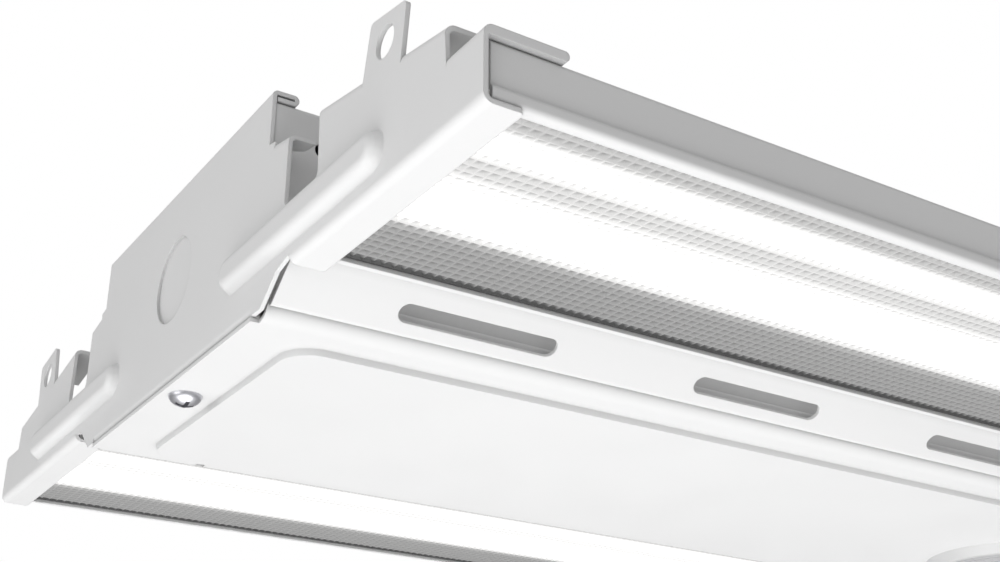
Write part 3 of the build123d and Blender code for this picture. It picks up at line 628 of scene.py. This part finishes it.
def facetedDome():
    # a shallow dome divided into rings of small lenses, each with a groove round it
    low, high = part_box("sensor_lens")
    radius = (high.x - low.x) / 2
    rimHeight = sensorFacets["rim"] * mm
    rise = high.z - low.z - rimHeight
    ball = (radius * radius + rise * rise) / (2 * rise)
    deselectAll()
    bpy.ops.mesh.primitive_uv_sphere_add(
        segments=sensorFacets["segments"],
        ring_count=sensorFacets["rings"],
        radius=ball,
        location=(0, 0, low.z + ball),
    )
    dome = bpy.context.object
    bpy.ops.object.transform_apply(location=True, rotation=True, scale=True)
    bpy.ops.object.mode_set(mode="EDIT")
    bpy.ops.mesh.select_all(action="SELECT")
    bpy.ops.mesh.bisect(plane_co=(0, 0, low.z + rise), plane_no=(0, 0, 1), clear_outer=True, use_fill=False)
    bpy.ops.mesh.select_all(action="SELECT")
    bpy.ops.mesh.inset(thickness=sensorFacets["groove"] * mm, depth=0.0, use_individual=True)
    width, depth = (sensorFacets[key] * mm for key in ("grooveWidth", "grooveDepth"))
    bpy.ops.mesh.inset(thickness=width, depth=-depth, use_individual=True)
    bpy.ops.mesh.select_mode(type="EDGE")
    bpy.ops.mesh.select_all(action="DESELECT")
    bpy.ops.mesh.select_non_manifold()
    bpy.ops.mesh.extrude_edges_move(TRANSFORM_OT_translate={"value": (0, 0, rimHeight)})
    bpy.ops.mesh.edge_face_add()
    bpy.ops.mesh.select_all(action="SELECT")
    bpy.ops.mesh.normals_make_consistent(inside=False)
    bpy.ops.object.mode_set(mode="OBJECT")
    return dome


keepPiece(facetedDome(), "sensorFacetLens", "milkyDome", "sensor_dome", "sensor_lens")
print("sensor lens made")


# Floor, lamps and world

stageSettings = {
    "floorLevel": -1.2,
    "floorSize": 14.0,
    "floorTone": 0.82,
    "floorChange": 0.98,
    "floorCloud": 3.0,
    "floorRoughness": 0.9,
    "worldLevel": 0.31,
}

lamps = {
    # places and sizes in metres
    "underLamp": {"place": (-0.25, -0.15, -0.8), "target": (0.0, 0.0, 0.0), "size": 1.0, "watts": 7.5},
    "leftLamp": {"place": (-2.2, -0.4, 0.1), "target": (0.0, 0.0, 0.0), "size": 1.6, "watts": 14.6},
    "topLamp": {"place": (0.3, -0.3, 2.2), "target": (0.0, 0.0, 0.0), "size": 2.4, "watts": 9.0},
}


def seenRays(tree):
    # 1 where the camera sees the surface straight or through something clear
    path = addNode(tree, "ShaderNodeLightPath")
    return math2(tree, "MAXIMUM", path.outputs["Is Camera Ray"], path.outputs["Is Transmission Ray"])


def makeFloor(settings):
    deselectAll()
    bpy.ops.mesh.primitive_plane_add(size=settings["floorSize"], location=(0, 0, settings["floorLevel"]))
    floor = bpy.context.object
    floor.name = "floor"
    material, tree, shader = newMaterial("floorPaper")
    points = objectPoints(tree)
    tone = settings["floorTone"]
    cloud = noiseRamp(tree, noise(tree, points, settings["floorCloud"]), 0.0, 1.0)
    base = mixColour(tree, cloud, gray(tone), gray(tone * settings["floorChange"]))
    tree.links.new(base, shader.inputs["Base Color"])
    shader.inputs["Roughness"].default_value = settings["floorRoughness"]
    white = addNode(tree, "ShaderNodeEmission", {"Color": gray(1.0), "Strength": 1.0})
    inputs = {0: seenRays(tree), 1: shader.outputs["BSDF"], 2: white.outputs[0]}
    mix = addNode(tree, "ShaderNodeMixShader", inputs)
    tree.links.new(mix.outputs[0], tree.nodes["Material Output"].inputs["Surface"])
    floor.data.materials.append(material)


def makeLamp(name, settings):
    data = bpy.data.lights.new(name, "AREA")
    data.shape = "SQUARE"
    data.size = settings["size"]
    data.energy = settings["watts"]
    lamp = bpy.data.objects.new(name, data)
    bpy.context.scene.collection.objects.link(lamp)
    place = Vector(settings["place"])
    lamp.location = place
    lamp.rotation_euler = (place - Vector(settings["target"])).to_track_quat("Z", "Y").to_euler()
    lamp.visible_camera = False
    lamp.visible_transmission = False


def makeWorld(settings):
    world = bpy.data.worlds.new("studio")
    bpy.context.scene.world = world
    world.use_nodes = True
    tree = world.node_tree
    tree.nodes.clear()
    output = tree.nodes.new("ShaderNodeOutputWorld")
    level = ramp(tree, seenRays(tree), 0.0, 1.0, settings["worldLevel"], 1.0)
    shade = addNode(tree, "ShaderNodeBackground", {"Color": gray(1.0), "Strength": level})
    tree.links.new(shade.outputs[0], output.inputs["Surface"])


makeFloor(stageSettings)
for name, settings in lamps.items():
    makeLamp(name, settings)
makeWorld(stageSettings)
print("stage set")
